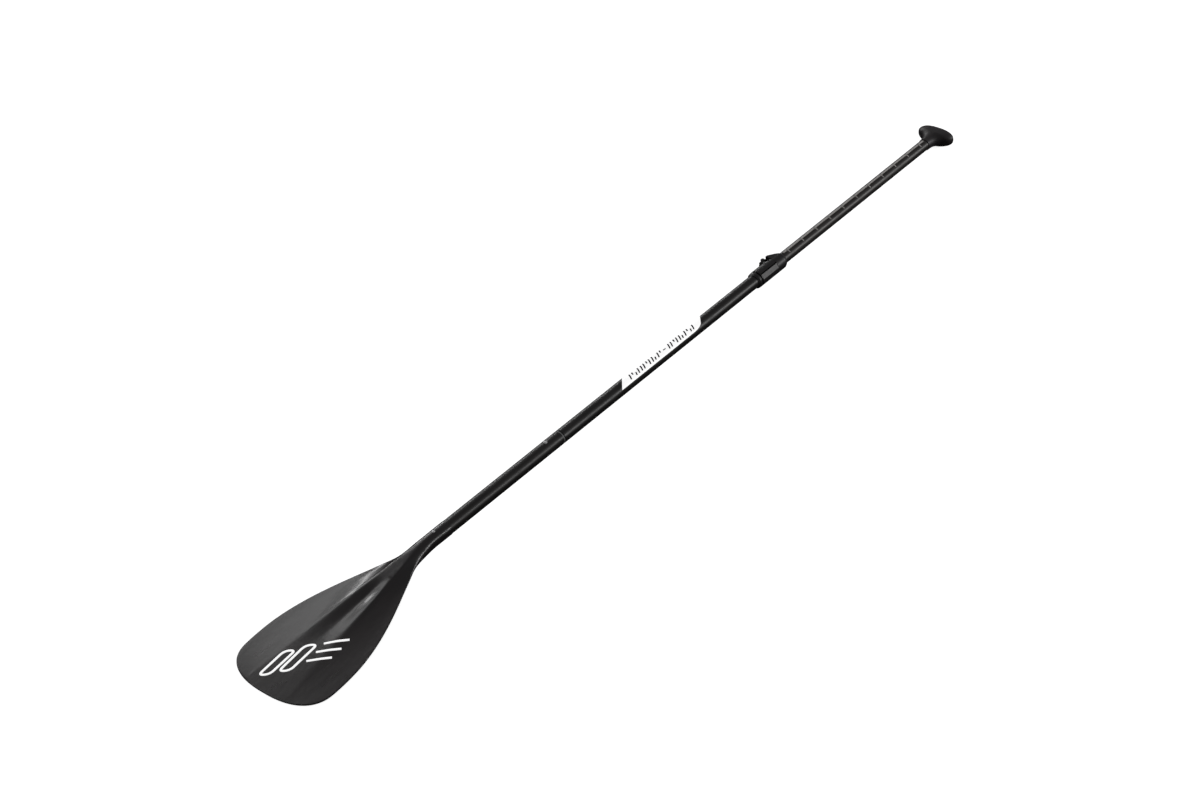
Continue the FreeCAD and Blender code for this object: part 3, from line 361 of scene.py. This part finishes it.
def piece(name, shape, material, body):
    """Makes a mesh object out of a bmesh and sets it on its body."""
    bmesh.ops.recalc_face_normals(shape, faces=shape.faces)
    mesh = bpy.data.meshes.new(name)
    shape.to_mesh(mesh)
    shape.free()
    for face in mesh.polygons:
        face.use_smooth = True
    made = bpy.data.objects.new(name, mesh)
    bpy.context.scene.collection.objects.link(made)
    mesh.materials.append(material)
    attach(made, body)
    return made


# blade: points are (distance past the middle of its bend, left), and fall square on to the front face
blade_mesh = NODES["blade"].data
blade_tree = BVHTree.FromPolygons(
    [vertex.co for vertex in blade_mesh.vertices], [tuple(face.vertices) for face in blade_mesh.polygons])
BLADE_LIES = math.radians(4.5)
BEND_END = 0.020
BLADE_FROM = Vector((-0.39896, 0, -0.00157))
BLADE_DOWN = Vector((-math.cos(BLADE_LIES), 0, -math.sin(BLADE_LIES)))
BLADE_UP = Vector((-math.sin(BLADE_LIES), 0, math.cos(BLADE_LIES)))
RAY_START = 0.08
PRINT_PROUD = 0.00016
PRINT_SUNK = -0.00008


def on_blade(point, height):
    """The flat point's place on the blade's face, a little above it or sunk into it."""
    base = BLADE_FROM + BLADE_DOWN * (point.x - BEND_END) + Vector((0, point.y, 0))
    struck = blade_tree.ray_cast(base + BLADE_UP * RAY_START, -BLADE_UP)[0]
    return struck + BLADE_UP * (PRINT_PROUD if height else PRINT_SUNK)


GRAPHIC_CORNER = Vector((0.4074, 0.0331))
GRAPHIC_LONG = Vector((-0.1034, -0.1010))
GRAPHIC_TALL = Vector((-0.0534, 0.0220))


def graphic(u, v):
    """A place in the graphic's leaning frame, u along it and v across it."""
    return GRAPHIC_CORNER + GRAPHIC_LONG * u + GRAPHIC_TALL * v


STROKE = 0.0048
OUTLINE_EASE = 0.012
STREAK_EASE = 0.014
OUTLINES = [
    [(0.00, 0.06), (0.15, 0.00), (0.34, 0.86), (0.19, 0.92)],
    [(0.25, 0.06), (0.40, 0.00), (0.60, 0.94), (0.44, 1.00)],
]
STREAKS = [
    [(0.56, 0.28), (0.88, 0.24)],
    [(0.63, 0.60), (0.95, 0.56)],
    [(0.68, 0.92), (1.00, 0.90)],
]
# the blade's white ink glows: painted light that keeps it white
BLADE_INK = ink("blade_ink", (0.93, 0.93, 0.93), 0.3, wear=0.12, glow=0.75)


def print_blade():
    """Two leaning outlines and three streaks in white."""
    marks = bmesh.new()
    for corners in OUTLINES:
        path = rounded([graphic(*corner) for corner in corners], OUTLINE_EASE)
        ribbon(marks, path, STROKE, on_blade, closed=True)
    for corners in STREAKS:
        path = rounded([graphic(*corner) for corner in corners], STREAK_EASE, closed=False)
        ribbon(marks, path, STROKE, on_blade)
    piece("blade_graphic", marks, BLADE_INK, "lower_section")


print_blade()


# tubes: points are (along the shaft, run round the tube from the front towards -Y)
def on_tube(radius, proud, sunk):
    """Wraps flat points round a tube, proud of its surface at height 1 and sunk into it at height 0."""
    def lift(point, height):
        r = radius + (proud if height else -sunk)
        angle = point.y / radius
        return Vector((point.x, -r * math.sin(angle), r * math.cos(angle)))
    return lift


TUBE_RADIUS = 0.0145
LABEL_FACE = TUBE_RADIUS + 0.00012
on_label = on_tube(LABEL_FACE, 0.00006, 0.00003)
LABEL_INK = ink("label_ink", (0.016, 0.016, 0.016), 0.45, wear=0.3)
BAR_WIDE = 0.0033
BAR_HALF_TALL = 0.0062
BAR_LEAN = 0.0029
BAR_MIDDLE = 0.0040
BAR_GAP = 0.0082
GROUP_FIRST = 0.2155
GROUP_PITCH = 0.0176
GROUPS = 12
DASH_GROUP = 6
DASH_FROM, DASH_TO = -0.0045, 0.0030
DASH_WIDE = 0.0022
# each bar runs between two heights, where 1 and -1 are the ends of a full bar
FULL, TOP, FOOT = (1.0, -1.0), (0.05, -1.0), (1.0, -0.05)
GROUP_BARS = [(FULL, TOP), (FOOT, FULL), (FULL, FULL), (TOP, FULL), (FULL, FOOT)]


def print_label():
    """A row of paired leaning bars, full or half, with one dash between them."""
    strip = bmesh.new()
    for k in range(GROUPS):
        middle = GROUP_FIRST + GROUP_PITCH * k
        if k == DASH_GROUP:
            dash = [Vector((middle + end, BAR_MIDDLE)) for end in (DASH_FROM, DASH_TO)]
            ribbon(strip, dash, DASH_WIDE, on_label)
            continue
        for side, ends in zip((-0.5, 0.5), GROUP_BARS[k % len(GROUP_BARS)]):
            x = middle + side * BAR_GAP
            bar = [Vector((x - BAR_LEAN * t, BAR_MIDDLE + BAR_HALF_TALL * t)) for t in ends]
            ribbon(strip, bar, BAR_WIDE, on_label, step=0.0012)
    piece("label_graphic", strip, LABEL_INK, "middle_section")


print_label()

# strokes of the scale's figures, on a grid 4 wide and 7 tall
DIGITS = {
    "0": [[(0, 0), (4, 0), (4, 7), (0, 7), (0, 0)]],
    "1": [[(0.8, 5.6), (2.4, 7), (2.4, 0)]],
    "2": [[(0, 7), (4, 7), (4, 3.6), (0, 3.6), (0, 0), (4, 0)]],
    "5": [[(4, 7), (0, 7), (0, 3.7), (4, 3.7), (4, 0), (0, 0)]],
    "6": [[(4, 7), (0, 7), (0, 0), (4, 0), (4, 3.7), (0, 3.7)]],
    "7": [[(0, 7), (4, 7), (1.4, 0)]],
    "8": [[(0, 0), (4, 0), (4, 7), (0, 7), (0, 0)], [(0, 3.7), (4, 3.7)]],
    "9": [[(4, 3.5), (0, 3.5), (0, 7), (4, 7), (4, 0), (0, 0)]],
}
FIGURE_ROWS = 7
FIGURE_ADVANCE = 6
FIGURE_UNIT = 0.00042
FIGURE_STROKE = 0.00045
FIGURE_START = -0.0034
UPPER_RADIUS = 0.0127
SCALE_FIRST = 0.745
SCALE_STEP = 0.050
SCALE_END = 1.265
SCALE_LEAD = 0.014
SCALE_MARKS = 11
SCALE_NUMBER = 210
NUMBER_STEP = 5
TICK_WIDE = 0.0022
TICK_TUCK = 0.0004
MINOR_SHARES = (0.2, 0.4, 0.6, 0.8)
MINOR_WIDE = 0.0005
MINOR_FROM, MINOR_TO = 0.0014, 0.0001
FINE_STEP = 0.0008
on_upper = on_tube(UPPER_RADIUS, 0.000025, 0.00003)
on_band = on_tube(UPPER_RADIUS, 0.000045, 0.00001)
SCALE_INK = ink("scale_ink", (0.62, 0.60, 0.575), 0.35, wear=0.35)
FIGURE_INK = ink("figure_ink", (0.02, 0.02, 0.02), 0.4, wear=0.3)


def round_from_front(degrees):
    """Run round the upper tube to an angle from +Y."""
    return math.radians(degrees - 90) * UPPER_RADIUS


BAND_FROM, BAND_TO, TICK_TO = round_from_front(75), round_from_front(97), round_from_front(128)
BAND_MIDDLE = (BAND_FROM + BAND_TO) / 2


def print_number(figures, x, number):
    """The strokes of a number that stands across the band at x."""
    head = BAND_MIDDLE + FIGURE_ROWS * FIGURE_UNIT / 2
    for place, figure in enumerate(str(number)):
        left = x + FIGURE_START + FIGURE_UNIT * FIGURE_ADVANCE * place
        for stroke in DIGITS[figure]:
            path = [Vector((left + FIGURE_UNIT * a, head - FIGURE_UNIT * b)) for a, b in stroke]
            ribbon(figures, path, FIGURE_STROKE, on_band, step=FINE_STEP, rows=1)


def print_scale():
    """The pale band and its ticks, and the dark figures and minor ticks that are printed over the band."""
    scale = bmesh.new()
    figures = bmesh.new()
    band = [Vector((SCALE_FIRST - SCALE_LEAD, BAND_MIDDLE)), Vector((SCALE_END, BAND_MIDDLE))]
    ribbon(scale, band, BAND_TO - BAND_FROM, on_upper, step=0.006, rows=6)
    for k in range(SCALE_MARKS):
        x = SCALE_FIRST + SCALE_STEP * k
        tick = [Vector((x, BAND_TO - TICK_TUCK)), Vector((x, TICK_TO))]
        ribbon(scale, tick, TICK_WIDE, on_upper, step=FINE_STEP, rows=1)
        for share in MINOR_SHARES if k < SCALE_MARKS - 1 else ():
            minor = [Vector((x + SCALE_STEP * share, BAND_TO - end)) for end in (MINOR_FROM, MINOR_TO)]
            ribbon(figures, minor, MINOR_WIDE, on_band, step=FINE_STEP, rows=1)
        print_number(figures, x, SCALE_NUMBER - NUMBER_STEP * k)
    piece("scale_marks", scale, SCALE_INK, "upper_section")
    piece("scale_figures", figures, FIGURE_INK, "upper_section")


print_scale()


# ---------------------------------------------------------------- floor, light and camera
def seen_or_lit(tree, lit, seen):
    """A colour that is seen where the camera looks straight at it, and lit to all other rays."""
    rays = tree.nodes.new("ShaderNodeLightPath").outputs["Is Camera Ray"]
    tone = tree.nodes.new("ShaderNodeMix")
    tone.data_type = "RGBA"
    tone.inputs[MIX_A].default_value = (*lit, 1)
    tone.inputs[MIX_B].default_value = (*seen, 1)
    tree.links.new(rays, tone.inputs[MIX_SHARE])
    return rays, tone.outputs[MIX_RESULT]


def paper():
    """White studio paper that glows to the camera, and throws little light back on to the black paddle."""
    made = bpy.data.materials.new("paper")
    made.use_nodes = True
    tree = made.node_tree
    surface = tree.nodes["Principled BSDF"]
    surface.inputs["Roughness"].default_value = 0.9
    surface.inputs["Specular IOR Level"].default_value = 0.0
    surface.inputs["Emission Color"].default_value = (1, 1, 1, 1)
    rays, tone = seen_or_lit(tree, (0.04, 0.04, 0.04), (0.85, 0.85, 0.85))
    tree.links.new(tone, surface.inputs["Base Color"])
    glow = tree.nodes.new("ShaderNodeMath")
    glow.operation = "MULTIPLY"
    glow.inputs[1].default_value = 0.9
    tree.links.new(rays, glow.inputs[0])
    tree.links.new(glow.outputs[0], surface.inputs["Emission Strength"])
    return made


FLOOR_SIZE = 60.0
FLOOR_GAP = 0.0006
GRIP_INSET = 0.02


def lay_floor():
    """The floor that the blade's tip and the grip's underside lie on."""
    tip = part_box("blade")[0]
    grip_low, grip_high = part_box("t_grip")
    start = Vector((tip.x, 0, tip.z))
    end = Vector((grip_high.x - GRIP_INSET, 0, grip_low.z))
    slope = math.atan2(end.z - start.z, end.x - start.x)
    bpy.ops.mesh.primitive_grid_add(x_subdivisions=8, y_subdivisions=8, size=FLOOR_SIZE)
    floor = bpy.context.object
    floor.name = "floor"
    middle = (start + end) / 2 - Vector((0, 0, FLOOR_GAP))
    floor.matrix_world = Matrix.Translation(middle) @ Matrix.Rotation(-slope, 4, "Y")
    floor.data.materials.append(paper())


def set_world():
    """A white backdrop to the camera, and a dim even grey to the paddle."""
    world = bpy.data.worlds.new("studio")
    bpy.context.scene.world = world
    world.use_nodes = True
    tree = world.node_tree
    tone = seen_or_lit(tree, (0.160, 0.158, 0.160), (1, 1, 1))[1]
    tree.links.new(tone, tree.nodes["Background"].inputs["Color"])


LIGHT_DISTANCE = 4.0


def softbox(name, direction, size, power, aim):
    """A rectangular light that faces aim from a direction, with its long side along the shaft."""
    data = bpy.data.lights.new(name, "AREA")
    data.shape = "RECTANGLE"
    data.size, data.size_y = size
    data.energy = power
    made = bpy.data.objects.new(name, data)
    bpy.context.scene.collection.objects.link(made)
    back = Vector(direction).normalized()
    side = (Vector((1, 0, 0)) - back * back.x).normalized()
    turn = Matrix((side, back.cross(side), back)).transposed().to_4x4()
    made.matrix_world = Matrix.Translation(Vector(aim) + back * LIGHT_DISTANCE) @ turn
    made.visible_camera = False


CAMERA_AT = Vector((-2.4968, -2.4521, 2.7245))
CAMERA_LOOKS = Vector((0.5822, 0.5451, -0.6033)).normalized()
CAMERA_UP = Vector((0.5082, 0.3353, 0.7933))
CAMERA_LENS_MM = 69.0
CAMERA_SENSOR_MM = 36.0
CAMERA_SHIFT = (-0.00018, 0.00023)


def set_camera():
    """The camera, above the paddle, beyond the blade's tip and to its right."""
    data = bpy.data.cameras.new("camera")
    data.lens = CAMERA_LENS_MM
    data.sensor_width = CAMERA_SENSOR_MM
    data.shift_x, data.shift_y = CAMERA_SHIFT
    data.clip_start, data.clip_end = 0.05, 100.0
    made = bpy.data.objects.new("camera", data)
    bpy.context.scene.collection.objects.link(made)
    right = CAMERA_LOOKS.cross(CAMERA_UP).normalized()
    turn = Matrix((right, right.cross(CAMERA_LOOKS), -CAMERA_LOOKS)).transposed().to_4x4()
    made.matrix_world = Matrix.Translation(CAMERA_AT) @ turn
    bpy.context.scene.camera = made


lay_floor()
set_world()
softbox("key", (0.58, -0.764, 0.278), (4.2, 0.42), 78, aim=(1.48, 0, 0))
softbox("fill", (0.30, 0.90, 0.32), (5.0, 0.40), 50, aim=(-0.2, 0, 0))
softbox("sheen", (0.38, 0.69, 0.62), (1.6, 0.80), 8.0, aim=(-0.65, 0, -0.04))
set_camera()
bpy.context.scene.view_settings.view_transform = "Standard"

bpy.context.view_layer.update()
